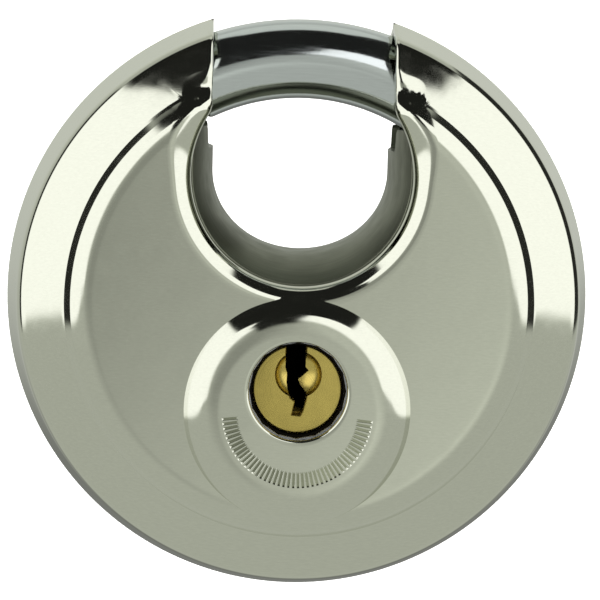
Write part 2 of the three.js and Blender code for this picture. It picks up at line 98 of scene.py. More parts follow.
class PadlockSizes(bpy.types.PropertyGroup):
    """Sizes of the fine surfaces, in millimetres."""

    sheet: bpy.props.FloatProperty(
        name="Sheet", description="Thickness of the pressed steel", default=1.2, min=0.8, max=1.5
    )
    hole_radius: bpy.props.FloatProperty(
        name="Hole", description="Radius of the round part of the throat", default=13.1, min=12.0, max=14.0
    )
    hole_lip: bpy.props.FloatProperty(
        name="Hole lip", description="Radius of the rolled lip round the hole", default=2.2, min=1.3, max=3.0
    )
    slot_half: bpy.props.FloatProperty(
        name="Slot", description="Half width of the slot above the hole", default=10.8, min=10.0, max=12.0
    )
    slot_lip: bpy.props.FloatProperty(
        name="Horn edge", description="Radius of the turned edge of each horn", default=0.45, min=0.1, max=1.0
    )
    liner_half: bpy.props.FloatProperty(
        name="Liner crest", description="Half width at the liner's crest", default=10.55, min=10.0, max=12.0
    )
    liner_wall: bpy.props.FloatProperty(
        name="Liner", description="Thickness of the liner", default=1.0, min=0.5, max=1.2
    )
    bar_radius: bpy.props.FloatProperty(
        name="Bar", description="Radius of the shackle's bar", default=4.75, min=4.0, max=5.0
    )
    stroke_count: bpy.props.IntProperty(
        name="Strokes", description="Radial strokes stamped round the plug", default=46, min=8, max=90
    )


def colour_property(name, description, hex_colour):
    """A colour that a user would change, kept as the sRGB values of its hex code."""
    values = [int(hex_colour[i : i + 2], 16) / 255 for i in (1, 3, 5)]
    return bpy.props.FloatVectorProperty(
        name=name, description=description, subtype="COLOR_GAMMA", size=3, min=0, max=1, default=values
    )


class PadlockColours(bpy.types.PropertyGroup):
    """Colours of the finishes, as sRGB."""

    stainless: colour_property("Stainless", "Polished pressed steel", "#CFD1C3")
    satin: colour_property("Satin steel", "Brushed steel of the liner", "#76796A")
    chrome: colour_property("Chrome", "Chromed bar of the shackle", "#CCD2D2")
    brass: colour_property("Brass", "Turned brass of the plug", "#CBB766")
    dull_brass: colour_property("Dull brass", "Sawn brass of the housing", "#B99A4E")
    zinc: colour_property("Zinc", "Die-cast blocks and plate", "#9FA2A4")
    hardened: colour_property("Hardened steel", "Blackened working parts", "#6C6E72")
    spring: colour_property("Spring wire", "Bright drawn wire", "#B9BABA")
    # Painted shade: the near-black colour laid into the plug's gap and keyway and round the hole behind it,
    # where shade falls.
    grease: colour_property("Painted_shade", "Old grease in the plug's gap and keyway", "#161410")
    floor: colour_property("Floor", "Pale paper floor and backdrop", "#FBFBFA")


def sizes():
    """The sizes that the panel shows."""
    return bpy.context.scene.padlock_sizes


def to_linear(colour):
    """Linear RGBA of an sRGB colour."""
    values = [c / 12.92 if c <= 0.04045 else ((c + 0.055) / 1.055) ** 2.4 for c in colour]
    return (*values, 1.0)


# ---------------------------------------------------------------------------------------------
# Mesh making


def smooth_step(share):
    """0 below 0, 1 above 1, and a soft rise between them."""
    share = np.clip(share, 0, 1)
    return share * share * (3 - 2 * share)


def passed(value, start, end):
    """0 before the start and 1 after the end, with a soft rise between them."""
    return smooth_step((value - start) / (end - start))


def placed(points):
    """Points in millimetres about the disc's centre, as metres in the frame."""
    moved = np.asarray(points, float).reshape(-1, 3).copy()
    moved[:, 2] += CENTRE_Z
    return moved / MM


def grid_quads(rows, columns, close_rows=False, close_columns=False):
    """Quads of a grid whose points are stored row by row."""
    i = np.arange(rows if close_rows else rows - 1)
    j = np.arange(columns if close_columns else columns - 1)
    i, j = np.meshgrid(i, j, indexing="ij")
    i2, j2 = (i + 1) % rows, (j + 1) % columns
    corners = [i * columns + j, i * columns + j2, i2 * columns + j2, i2 * columns + j]
    return np.stack(corners, axis=-1).reshape(-1, 4)


def tube_faces(rows, columns):
    """Quads of a tube whose rings are stored row by row, and the caps of its two ends."""
    first = list(range(columns))
    last = [(rows - 1) * columns + i for i in first]
    return [*grid_quads(rows, columns, close_columns=True).tolist(), first, last]


def new_object(name, points, faces, merge=2e-6):
    """A mesh object from points in millimetres; doubles are merged and the faces made to point outwards."""
    mesh = bpy.data.meshes.new(name)
    mesh.from_pydata(placed(points).tolist(), [], [list(map(int, f)) for f in faces])
    work = bmesh.new()
    work.from_mesh(mesh)
    bmesh.ops.remove_doubles(work, verts=work.verts, dist=merge)
    bmesh.ops.dissolve_degenerate(work, edges=work.edges, dist=merge / 4)
    bmesh.ops.recalc_face_normals(work, faces=work.faces)
    work.to_mesh(mesh)
    work.free()
    piece = bpy.data.objects.new(name, mesh)
    bpy.context.scene.collection.objects.link(piece)
    return piece


def smooth(piece, sharp=32.0):
    """Smooth shading, with edges over the angle kept sharp."""
    mesh = piece.data
    mesh.polygons.foreach_set("use_smooth", [True] * len(mesh.polygons))
    mesh.set_sharp_from_angle(angle=math.radians(sharp))


def boolean(piece, tool, operation):
    """Joins a tool to a piece or cuts it away, and removes the tool."""
    step = piece.modifiers.new(operation, "BOOLEAN")
    step.operation = operation
    step.solver = "EXACT"
    step.object = tool
    depsgraph = bpy.context.evaluated_depsgraph_get()
    made = bpy.data.meshes.new_from_object(piece.evaluated_get(depsgraph))
    piece.modifiers.clear()
    old = piece.data
    piece.data = made
    bpy.data.meshes.remove(old)
    bpy.data.meshes.remove(tool.data)


def turned(name, profile, x=0.0, z=0.0, columns=96):
    """A closed body turned about a line along y through x and z. The profile's points are (radius, y),
    and it starts and ends on the line."""
    profile = np.asarray(profile, float)
    angle = np.linspace(0, 2 * np.pi, columns, endpoint=False)
    radius, depth = profile[:, :1], profile[:, 1:]
    grid = np.stack(
        [x + radius * np.sin(angle), depth + 0 * angle, z + radius * np.cos(angle)], axis=-1
    )
    return new_object(name, grid, grid_quads(len(profile), columns, close_columns=True))


def prism(name, outlines):
    """A body through a stack of outlines of (x, z) with the same number of points, each with its own y."""
    count = len(outlines[0][1])
    grid = np.concatenate(
        [np.column_stack([xz[:, 0], np.full(count, y), xz[:, 1]]) for y, xz in outlines]
    )
    return new_object(name, grid, tube_faces(len(outlines), count))


def settle(piece, body, slot, material, *nodes):
    """Gives a finished piece its body and its material, and hides the nodes that it stands for; the slot is
    not used.
    """
    piece.data.materials.clear()
    piece.data.materials.append(material)
    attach(piece, body)
    if nodes:
        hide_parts(*nodes)


# ---------------------------------------------------------------------------------------------
# Pressed cups

# Slope of the cup's outer skin, in degrees from the flat face, against the radius. A fillet turns the
# face into a steep step, a concave corner starts the cone, and a shoulder turns that into the rim wall.
CUP_SLOPES = np.array(
    [
        (0.0, 0.0),
        (24.5, 0.0),
        (25.8, 12.0),
        (27.0, 45.0),
        (27.15, 54.0),
        (27.8, 55.0),
        (28.15, 21.0),
        (32.4, 24.5),
        (33.6, 77.0),
    ]
)
SHOULDER_RADIUS = CUP_SLOPES[-1, 0]
# The inside of the cup, as radius and depth.
LINING = np.array([(24.7, 11.6), (26.1, 11.3), (27.3, 9.53), (32.1, 7.4), (32.4, 7.0), (33.8, SEAM)])
LIP_FLARE = 1.3
BAR_GATE_Y = 5.5
GATE_RADIUS = 32.7
LINING_RADII = (25.4, 26.1, 26.7, 27.3, 28.9, 30.5, 32.1, 32.4, 33.1, LINING[-1, 0])
# Angles from straight up, in degrees, between which one stretch of the throat's edge passes into the next.
SLOT_TO_HOLE = (51.0, 60.0)
HORN_TO_LIP = (40.0, 54.0)
LIP_TO_FLARE = (96.0, 64.0)
CORNER_ROUND = 0.3
RAYS = 521
SKIN_SAMPLES = 14001
SKIN_SOFTENING = 30
REACH_SAMPLES = 800
REACH_SOFTENING = 161
OUTER_ROWS = 110
MOST_BEND = 60.0
BEND_PER_ROW = 6
LIP_ROWS = 12
WALL_ROWS = 6
FLAT_ROWS = 9


def cup_skin():
    """Depth and slope of the outer skin over the radius: the depth is the face's less the running sum of
    the slope's tangent, and from the shoulder a straight wall leads to the seam."""
    radius = np.linspace(0, DISC_RADIUS, SKIN_SAMPLES)
    step = radius[1]
    slope = np.interp(radius, CUP_SLOPES[:, 0], CUP_SLOPES[:, 1])
    window = np.hanning(2 * SKIN_SOFTENING + 1)
    padded = np.pad(slope, SKIN_SOFTENING, mode="edge")
    slope = np.convolve(padded, window / window.sum(), mode="valid")
    depth = FACE_DEPTH - np.cumsum(np.tan(np.radians(slope))) * step
    shoulder = int(SHOULDER_RADIUS / step)
    wall = (depth[shoulder] - SEAM) / (DISC_RADIUS - radius[shoulder])
    beyond = radius > radius[shoulder]
    depth[beyond] = depth[shoulder] - wall * (radius[beyond] - radius[shoulder])
    slope[beyond] = math.degrees(math.atan(wall))
    return radius, depth, slope


class Throat:
    """The throat seen from its centre: its edge and the disc's circles as reaches along rays. A ray's
    clock angle is 0 straight up."""

    def __init__(self, turn):
        self.sin = np.sin(turn)
        self.cos = np.cos(turn)
        fold = np.degrees(np.minimum(turn, 2 * np.pi - turn))
        self.slot = 1 - passed(fold, *SLOT_TO_HOLE)
        self.horn = 1 - passed(fold, *HORN_TO_LIP)
        self.flare = passed(fold, *LIP_TO_FLARE) * (1 - self.horn)
        self.above = fold < 90.0

    def edge(self, offset):
        """Reach of the line that runs offset outside the throat: the larger of the hole's circle and the
        slot's straight side, with their corner rounded."""
        side = np.where(self.above, np.abs(self.sin), 1.0)
        straight = (sizes().slot_half + offset) / side
        round_part = sizes().hole_radius + offset
        apart = straight - round_part
        return 0.5 * (straight + round_part + np.sqrt(apart**2 + CORNER_ROUND**2))

    def circle(self, radius):
        """Reach of the disc's circle of that radius: the far crossing of the ray with the circle."""
        inside = np.maximum(radius**2 - (THROAT_Z * self.sin) ** 2, 0)
        return -THROAT_Z * self.cos + np.sqrt(inside)

    def point(self, reach):
        """x, z and distance from the disc's axis at a reach."""
        x = reach * self.sin
        z = THROAT_Z + reach * self.cos
        return x, z, np.hypot(x, z)


def outer_reaches(throat, first, last, skin):
    """Rows of reaches from the lip to the rim, closer together where the skin bends: the density is a
    constant plus the change of slope, and the rows stand at equal shares of its running sum."""
    radius, _, slope = skin
    share = np.linspace(0, 1, REACH_SAMPLES)[:, None]
    reach = first + (last - first) * share
    bend = np.minimum(np.abs(np.gradient(slope, radius)), MOST_BEND)
    window = np.hanning(REACH_SOFTENING)
    bend = np.convolve(bend, window / window.sum(), mode="same")
    density = 1 + np.interp(throat.point(reach)[2], radius, bend) / BEND_PER_ROW
    total = np.cumsum(density, axis=0) * (last - first) / len(share)
    total = total - total[0] + share * 1e-6
    total = total / total[-1]
    wanted = np.linspace(0, 1, OUTER_ROWS)
    columns = [np.interp(wanted, total[:, j], reach[:, j]) for j in range(reach.shape[1])]
    return np.stack(columns, axis=1)


def cup_points(side):
    """Closed sections of the sheet, one for each ray from the throat's centre: lip, throat wall, turned-in
    edge, inside, rim and outside. A row holds the same point of every section."""
    skin = cup_skin()
    skin_radius, skin_depth, skin_slope = skin
    horn = math.atan2(sizes().slot_half, math.sqrt(DISC_RADIUS**2 - sizes().slot_half**2) - THROAT_Z)
    turn = np.linspace(horn, 2 * np.pi - horn, RAYS)
    throat = Throat(turn)
    rim = throat.circle(DISC_RADIUS)
    sink = sizes().hole_lip + (sizes().slot_lip - sizes().hole_lip) * throat.horn
    width = sink + LIP_FLARE * throat.flare

    def depth_at(reach):
        return np.interp(throat.point(reach)[2], skin_radius, skin_depth)

    def lining_at(reach):
        return np.interp(throat.point(reach)[2], LINING[:, 0], LINING[:, 1])

    def row(reach, depth):
        x, z, _ = throat.point(reach)
        return np.stack([x, np.maximum(depth, SEAM), z], axis=-1)

    rows = []
    # Lip: a quarter of an ellipse, sunk along the skin's normal across the throat's edge. It is round at
    # the hole and wider at the foot of each horn.
    quarter = np.radians(np.linspace(90, 0, LIP_ROWS))
    for angle in quarter:
        reach = np.minimum(throat.edge(width * (1 - math.cos(angle))), rim)
        x, z, radius = throat.point(reach)
        slope = np.radians(np.interp(radius, skin_radius, skin_slope))
        normal = np.stack([x / radius * np.sin(slope), np.cos(slope), z / radius * np.sin(slope)], axis=-1)
        across = np.stack(
            [
                throat.slot * np.sign(throat.sin) + (1 - throat.slot) * throat.sin,
                0 * x,
                (1 - throat.slot) * throat.cos,
            ],
            axis=-1,
        )
        across /= np.linalg.norm(across, axis=-1, keepdims=True)
        normal -= across * (normal * across).sum(axis=-1, keepdims=True)
        sunk = sink * (1 - math.sin(angle))
        point = np.stack([x, depth_at(reach), z], axis=-1) - normal * sunk[:, None]
        point[:, 1] = np.maximum(point[:, 1], SEAM)
        rows.append(point)
    # Throat wall, down to the liner's edge round the hole and to the bar's gate in the slot.
    edge = np.minimum(throat.edge(0.0), rim)
    gate = 1 - smooth_step((throat.slot - 0.55) / 0.3)
    liner_side = FACE_DEPTH - sizes().hole_lip
    target = BAR_GATE_Y + (liner_side - BAR_GATE_Y) * gate
    foot_depth = np.minimum(np.minimum(target, lining_at(edge)), rows[-1][:, 1])
    foot = row(edge, foot_depth)
    start = rows[-1]
    rows += [start + (foot - start) * share for share in np.linspace(0, 1, WALL_ROWS)[1:]]
    # Turned-in edge and the inside of the sheet.
    inner = np.minimum(throat.edge(sizes().sheet), np.maximum(edge, throat.circle(GATE_RADIUS)))
    inner = np.minimum(inner, np.maximum(edge, throat.circle(LINING[-1, 0])))
    rows.append(row(inner, foot_depth))
    rows.append(row(inner, (foot_depth + lining_at(inner)) / 2))
    rows.append(row(inner, lining_at(inner)))
    last = np.maximum(throat.circle(LINING[-1, 0]), edge)
    flat_end = np.clip(throat.circle(LINING[0, 0]), inner, last)
    for share in np.linspace(0, 1, FLAT_ROWS)[1:]:
        reach = inner + (flat_end - inner) * share
        rows.append(row(reach, lining_at(reach)))
    for radius in LINING_RADII:
        reach = np.clip(throat.circle(radius), inner, last)
        rows.append(row(reach, lining_at(reach)))
    # Rim and outside.
    first = np.minimum(throat.edge(width), rim)
    outer = outer_reaches(throat, first, rim, skin)
    rows += [row(reach, depth_at(reach)) for reach in outer[::-1][:-1]]
    points = np.stack(rows)
    points[..., 1] *= side
    return points


def build_cup(name, side):
    """A pressed cup, on the front when the side is -1 and on the rear when it is 1."""
    points = cup_points(side)
    return new_object(name, points, grid_quads(len(points), RAYS, close_rows=True))


# Slope of the boss in degrees against its radius, and how it goes on under the cup's face.
BOSS_SLOPES = np.array([(0.0, 0.0), (9.2, 0.0), (11.2, 13.0), (12.9, 47.0), (14.2, 48.0)])
BOSS_LINING = ((9.3, 13.4), (10.9, 12.9), (12.0, 12.0))
BOSS_FOOT_RADIUS = 14.0
BOSS_OPENING = 12.6
BOSS_OPENING_YS = (-16, -9)
PLUG_HOLE_RADIUS = 5.83
HOLE_ROUND = 0.3
BOSS_COLUMNS = 288
BOSS_SAMPLES = 2841


def boss_points():
    """Closed sections of the boss round its own centre line: foot, bevel, plateau, the rounded edge of the
    plug's hole, and the lining. On the plateau the rows pass from the boss's circle to the hole's."""
    radius = np.linspace(0, BOSS_SLOPES[-1, 0], BOSS_SAMPLES)
    slope = np.interp(radius, BOSS_SLOPES[:, 0], BOSS_SLOPES[:, 1])
    depth = BOSS_DEPTH - np.cumsum(np.tan(np.radians(slope))) * radius[1]
    angle = np.linspace(0, 2 * np.pi, BOSS_COLUMNS, endpoint=False)

    def ring(r, y, centre_z=BOSS_Z):
        return np.stack([r * np.sin(angle), 0 * angle + y, centre_z + r * np.cos(angle)], axis=-1)

    bevel = [*np.linspace(BOSS_FOOT_RADIUS, 13.0, 8), *np.linspace(12.9, 9.4, 34)]
    rows = [ring(r, np.interp(r, radius, depth)) for r in bevel]
    plateau = BOSS_SLOPES[1, 0]
    top_edge = ring(PLUG_HOLE_RADIUS + HOLE_ROUND, BOSS_DEPTH, PLUG_Z)
    rows += [
        ring(plateau, BOSS_DEPTH) + (top_edge - ring(plateau, BOSS_DEPTH)) * share
        for share in np.linspace(0, 1, 14)
    ]
    for turn in np.radians(np.linspace(15, 90, 6)):
        reach = PLUG_HOLE_RADIUS + HOLE_ROUND * (1 - math.sin(turn))
        rows.append(ring(reach, BOSS_DEPTH - HOLE_ROUND * (1 - math.cos(turn)), PLUG_Z))
    inner_depth = BOSS_LINING[0][1]
    rows += [ring(PLUG_HOLE_RADIUS, inner_depth, PLUG_Z)]
    rows += [ring(r, y) for r, y in BOSS_LINING]
    foot_depth = np.interp(BOSS_FOOT_RADIUS, radius, depth)
    rows += [ring(BOSS_LINING[-1][0], foot_depth)]
    points = np.stack(rows)
    points[..., 1] *= -1
    return points


STROKE_CLOCK = (96.0, 264.0)
STROKE_RADIUS = (6.95, 9.0)
STROKE_WIDTH = 0.442
STROKE_DEPTH = 0.17
STROKE_TAPER = 0.3
STROKE_PROUD = 0.05


def stroke_cutters():
    """Radial gouges with a sharp floor, spaced evenly round the lower side of the plateau."""
    clock = np.radians(np.linspace(*STROKE_CLOCK, sizes().stroke_count))
    along = np.stack([np.sin(clock), 0 * clock, np.cos(clock)], axis=-1)[:, None, :]
    aside = np.stack([np.cos(clock), 0 * clock, -np.sin(clock)], axis=-1)[:, None, :]
    low, high = STROKE_RADIUS
    half = STROKE_WIDTH / 2
    # Four corners above the face, then the two ends of the floor line.
    reach = np.array([low, high, high, low, low + STROKE_TAPER, high - STROKE_TAPER])[None, :, None]
    offset = np.array([-half, -half, half, half, 0, 0])[None, :, None]
    depth = np.array([STROKE_PROUD] * 4 + [-STROKE_DEPTH] * 2)[None, :, None]
    centre = np.array([0, -BOSS_DEPTH, BOSS_Z])
    points = centre + along * reach + aside * offset + depth * np.array([0, -1, 0])
    faces = [(0, 1, 2, 3), (0, 4, 5, 1), (1, 5, 2), (2, 5, 4, 3), (3, 4, 0)]
    all_faces = [[v + 6 * i for v in face] for i in range(len(clock)) for face in faces]
    return new_object("strokes", points.reshape(-1, 3), all_faces)


class PADLOCK_OT_rear_cup(bpy.types.Operator):
    """Presses the rear cup"""

    bl_idname = "padlock.rear_cup"
    bl_label = "Rear cup"

    def execute(self, context):
        cup = build_cup("rear_cup", 1)
        smooth(cup)
        settle(cup, "case", "shell_steel", polished_stainless(), "rear_shell")
        return {"FINISHED"}


class PADLOCK_OT_front_cup(bpy.types.Operator):
    """Presses the front cup with its boss, the plug's hole and the stamped strokes"""

    bl_idname = "padlock.front_cup"
    bl_label = "Front cup"

    def execute(self, context):
        cup = build_cup("front_cup", -1)
        points = boss_points()
        quads = grid_quads(len(points), BOSS_COLUMNS, close_rows=True, close_columns=True)
        boss = new_object("boss", points, quads)
        boolean(boss, stroke_cutters(), "DIFFERENCE")
        front, back = BOSS_OPENING_YS
        opening = [(0, front), (BOSS_OPENING, front), (BOSS_OPENING, back), (0, back)]
        boolean(cup, turned("opening", opening, z=BOSS_Z), "DIFFERENCE")
        boolean(cup, boss, "UNION")
        smooth(cup)
        settle(cup, "case", "shell_steel", polished_stainless(), "front_shell")
        return {"FINISHED"}


# ---------------------------------------------------------------------------------------------
# Throat liner

NOTCH_Z = 18.0
NOTCH_Y = 5.3
NOTCH_ROUND = 0.7
LINER_FOOT_CROWN = 1.05
LINER_EDGE_ROUND = 0.12
LINER_ROWS = 61
LINER_BEND_ROWS = 121
LINER_ARM_ROWS = 12


def liner_points():
    """Closed sections of the strip along its U. It is crowned: its half width grows with the square of
    the distance from the seam plane, more so at the foot. The arms end lower between a notch's sides."""
    share = np.linspace(-1, 1, LINER_ROWS)
    depth = share * LINER_EDGE_Y
    edge_half = LINER_OUTER - sizes().liner_wall
    crown = edge_half - sizes().liner_half
    top = NOTCH_Z + (LINER_TOP_Z - NOTCH_Z) * smooth_step((np.abs(depth) - NOTCH_Y) / NOTCH_ROUND + 0.5)
    there = np.arange(LINER_ROWS)
    there_and_back = np.concatenate([there, there[::-1]])
    wall = np.repeat([0, sizes().liner_wall], LINER_ROWS)
    share, depth, top = share[there_and_back], depth[there_and_back], top[there_and_back]
    turn = np.linspace(-np.pi / 2, np.pi / 2, LINER_BEND_ROWS)
    rise = np.linspace(1, 0, LINER_ARM_ROWS)[:-1]
    left = [(-1, 0, r) for r in rise]
    bottom = [(math.sin(t), -math.cos(t), 0) for t in turn]
    right = [(1, 0, r) for r in rise[::-1]]
    path = np.array(left + bottom + right)[:, None, :]
    half = edge_half - (crown + LINER_FOOT_CROWN * path[..., 1] ** 2) * (1 - share**2) + wall
    x = path[..., 0] * half
    z = THROAT_Z + path[..., 1] * half + path[..., 2] * (top - THROAT_Z)
    return np.stack([x, np.broadcast_to(depth, x.shape), z], axis=-1)


class PADLOCK_OT_liner(bpy.types.Operator):
    """Rolls the strip that lines the throat"""

    bl_idname = "padlock.liner"
    bl_label = "Throat liner"

    def execute(self, context):
        points = liner_points()
        columns = points.shape[1]
        quads = grid_quads(len(points), columns, close_columns=True).tolist()
        half = columns // 2
        ends = []
        for base in (0, (len(points) - 1) * columns):
            for i in range(half - 1):
                ends.append([base + i, base + i + 1, base + columns - 2 - i, base + columns - 1 - i])
        liner = new_object("throat_strip", points, quads + ends)
        edge = liner.modifiers.new("edge", "BEVEL")
        edge.width = LINER_EDGE_ROUND / MM
        edge.segments = 3
        edge.limit_method = "ANGLE"
        edge.angle_limit = math.radians(50)
        smooth(liner)
        settle(liner, "case", "liner_steel", satin_steel(), "throat_liner")
        return {"FINISHED"}


# ---------------------------------------------------------------------------------------------
# Shackle

SHACKLE_CLOCK = (-28.0, 194.0)
RACK_CLOCK = 112.0
RACK_SEAT_Y = 4.2
BAR_END_ROUND = 0.9
RIVET_CLOCKS = (122.0, 150.0, 178.0)
RIVET_RING = 27.8
RIVET_HOLE = 1.35
RIVET_HOLE_YS = (0.9, 6)
BAR_COLUMNS = 96
# The frame's origin is on the underside of the bar, straight above the disc's centre.
BAR_INNER_RADIUS = -CENTRE_Z


def shackle_points():
    """The bar as a circle carried along an arc about the disc's axis. Its ends are rounded: the circle
    shrinks over the last stretch as a quarter round. Past the rack's start the bar is milled to a flat."""
    bar = sizes().bar_radius
    mean = BAR_INNER_RADIUS + bar
    first, last = np.radians(SHACKLE_CLOCK)
    turn = np.radians(np.linspace(0, 90, 7))
    along = first + BAR_END_ROUND * (1 - np.cos(turn)) / mean
    shrunk = 1 - BAR_END_ROUND / bar * (1 - np.sin(turn))
    start = list(zip(along, shrunk))
    length = BAR_END_ROUND / mean
    seat = math.radians(RACK_CLOCK)
    body = [(c, 1.0) for c in np.linspace(first + length, seat - 1e-4, 200)[1:]]
    tail = [(c, 1.0) for c in np.linspace(seat, last - length, 120)[:-1]]
    end = [(first + last - c, share) for c, share in start[::-1]]
    stations = np.array(start + body + tail + end)
    clock, share = stations[:, :1], stations[:, 1:]
    angle = np.linspace(0, 2 * np.pi, BAR_COLUMNS, endpoint=False)
    radius = mean + bar * share * np.cos(angle)
    depth = bar * share * np.sin(angle)
    depth = np.where(clock >= seat, np.minimum(depth, RACK_SEAT_Y), depth)
    return np.stack([radius * np.sin(clock), depth, radius * np.cos(clock)], axis=-1)


class PADLOCK_OT_shackle(bpy.types.Operator):
    """Bends the round bar, mills its flat and drills it for the rack's rivets"""

    bl_idname = "padlock.shackle"
    bl_label = "Shackle"

    def execute(self, context):
        points = shackle_points()
        bar = new_object("shackle_bar", points, tube_faces(*points.shape[:2]))
        low, high = RIVET_HOLE_YS
        for clock in np.radians(RIVET_CLOCKS):
            hole = [(0, low), (RIVET_HOLE, low), (RIVET_HOLE, high), (0, high)]
            place = {"x": RIVET_RING * math.sin(clock), "z": RIVET_RING * math.cos(clock)}
            boolean(bar, turned("rivet_hole", hole, columns=32, **place), "DIFFERENCE")
        smooth(bar)
        settle(bar, "shackle", "shackle_steel", chromed_steel(), "shackle")
        return {"FINISHED"}


# ---------------------------------------------------------------------------------------------
# Plug

# Keyway round the plug's centre: it breaks out at the top, and two wards make its dog-leg.
KEYWAY = np.array(
    [
        (-1.42, 6.2),
        (1.0, 6.2),
        (0.97, 2.5),
        (1.35, 2.1),
        (0.72, 1.5),
        (0.1, 1.0),
        (0.45, 0.27),
        (1.1, -0.5),
        (1.17, -0.72),
        (0.99, -1.6),
        (0.68, -2.7),
        (0.4, -3.2),
        (-0.59, -3.1),
        (-0.26, -1.5),
        (-0.82, -1.1),
        (-1.1, -0.36),
        (-1.28, 0.64),
        (-1.23, 1.73),
        (-1.45, 2.4),
    ]
)
KEYWAY_DEPTH = 14.9
KEYWAY_CHAMFER = 0.1
DISH_X, DISH_Z = 0.08, 1.73
DISH_RADIUS = 2.78
DISH_DEPTH = 1.6
TAIL_RADIUS = 3.0
TAIL_FLAT = 2.2
TAIL_STEP_Y = 8.0
PLUG_BACK_Y = 4.6
JOURNAL_RADIUS = 2.0
GROOVE_RADIUS = 1.6
GROOVE_Y = (10.15, 10.75)
CHAMBER_YS = (-8.0, -5.0, -2.0, 1.0)
CHAMBER_RADIUS = 1.3
CHAMBER_ROOF = 0.8
CHAMBER_COLUMNS = 40
PLUG_EDGE_ROUND = 0.28


def widened(outline, width):
    """An outline moved outwards: each corner goes along the sum of its two sides' normals."""
    ahead = np.roll(outline, -1, axis=0) - outline
    normal = np.stack([ahead[:, 1], -ahead[:, 0]], axis=-1)
    normal /= np.linalg.norm(normal, axis=1, keepdims=True)
    area = (outline[:, 0] * np.roll(outline[:, 1], -1) - outline[:, 1] * np.roll(outline[:, 0], -1)).sum()
    corner = normal + np.roll(normal, 1, axis=0)
    corner /= np.maximum((corner**2).sum(axis=1, keepdims=True) / 2, 0.6)
    return outline + corner * width * math.copysign(1, area)


def keyway_cutter():
    """The keyway as a prism that flares over its chamfer at the plug's face."""
    centre = np.array([0, PLUG_Z])
    wide = widened(KEYWAY, KEYWAY_CHAMFER) + centre
    wider = widened(KEYWAY, KEYWAY_CHAMFER * 2) + centre
    narrow = KEYWAY + centre
    face = PLUG_FACE_Y
    return prism(
        "keyway",
        [
            (face - KEYWAY_CHAMFER, wider),
            (face, wide),
            (face + KEYWAY_CHAMFER, narrow),
            (face + KEYWAY_DEPTH, narrow),
        ],
    )


def dish_cutter():
    """The dished entry: a spherical floor whose wall is steeper towards its rim."""
    share = np.sin(np.radians(np.linspace(0, 90, 24)))[1:]
    depth = DISH_DEPTH * np.sqrt(1 - share**2)
    floor = [(DISH_RADIUS * s, PLUG_FACE_Y + d) for s, d in zip(share, depth)]
    top = [(0, PLUG_FACE_Y - 1), (DISH_RADIUS * 1.02, PLUG_FACE_Y - 1)]
    profile = [*top, *floor[::-1], (0, PLUG_FACE_Y + DISH_DEPTH)]
    return turned("dish", profile, x=DISH_X, z=PLUG_Z + DISH_Z)


def chamber_cutter(depth):
    """A pin chamber: a cylinder that comes up from below the plug."""
    angle = np.linspace(0, 2 * np.pi, CHAMBER_COLUMNS, endpoint=False)
    ring = np.stack([CHAMBER_RADIUS * np.cos(angle), depth + CHAMBER_RADIUS * np.sin(angle)], axis=-1)
    low, high = PLUG_Z - PLUG_RADIUS - 1, PLUG_Z - CHAMBER_ROOF
    grid = np.concatenate([np.column_stack([ring, np.full(CHAMBER_COLUMNS, z)]) for z in (low, high)])
    return new_object("chamber", grid, tube_faces(2, CHAMBER_COLUMNS))


def flat_cutter(side):
    """A block that leaves one flat on the plug's tail."""
    xs = sorted((TAIL_FLAT * side, 4.0 * side))
    square = np.array([(xs[0], -4.0), (xs[1], -4.0), (xs[1], 4.0), (xs[0], 4.0)]) + [0, PLUG_Z]
    return prism("flat", [(PLUG_BACK_Y, square), (TAIL_STEP_Y, square)])


def plug_profile():
    """Half section of the plug, with a rounded edge at its face."""
    edge = PLUG_EDGE_ROUND
    turn = np.radians(np.linspace(0, 90, 7))
    rounded = [
        (PLUG_RADIUS - edge * (1 - math.sin(t)), PLUG_FACE_Y + edge * (1 - math.cos(t))) for t in turn
    ]
    return [
        (0, PLUG_FACE_Y),
        *rounded,
        (PLUG_RADIUS, PLUG_BACK_Y),
        (TAIL_RADIUS, PLUG_BACK_Y),
        (TAIL_RADIUS, TAIL_STEP_Y),
        (JOURNAL_RADIUS, TAIL_STEP_Y),
        (JOURNAL_RADIUS, GROOVE_Y[0]),
        (GROOVE_RADIUS, GROOVE_Y[0]),
        (GROOVE_RADIUS, GROOVE_Y[1]),
        (JOURNAL_RADIUS, GROOVE_Y[1]),
        (JOURNAL_RADIUS, PLUG_END_Y),
        (0, PLUG_END_Y),
    ]


class PADLOCK_OT_plug(bpy.types.Operator):
    """Turns the plug and cuts its keyway, dish, chambers and flats"""

    bl_idname = "padlock.plug"
    bl_label = "Plug"

    def execute(self, context):
        plug = turned("brass_plug", plug_profile(), z=PLUG_Z, columns=160)
        boolean(plug, dish_cutter(), "DIFFERENCE")
        boolean(plug, keyway_cutter(), "DIFFERENCE")
        for depth in CHAMBER_YS:
            boolean(plug, chamber_cutter(depth), "DIFFERENCE")
        for side in (-1, 1):
            boolean(plug, flat_cutter(side), "DIFFERENCE")
        smooth(plug)
        settle(plug, "plug", "brass", turned_brass(), "plug")
        return {"FINISHED"}


# ---------------------------------------------------------------------------------------------
# Springs

SPRING_TURNS = 3.5
SPRING_WIRE = 0.14
ROWS_PER_TURN = 36
WIRE_COLUMNS = 12


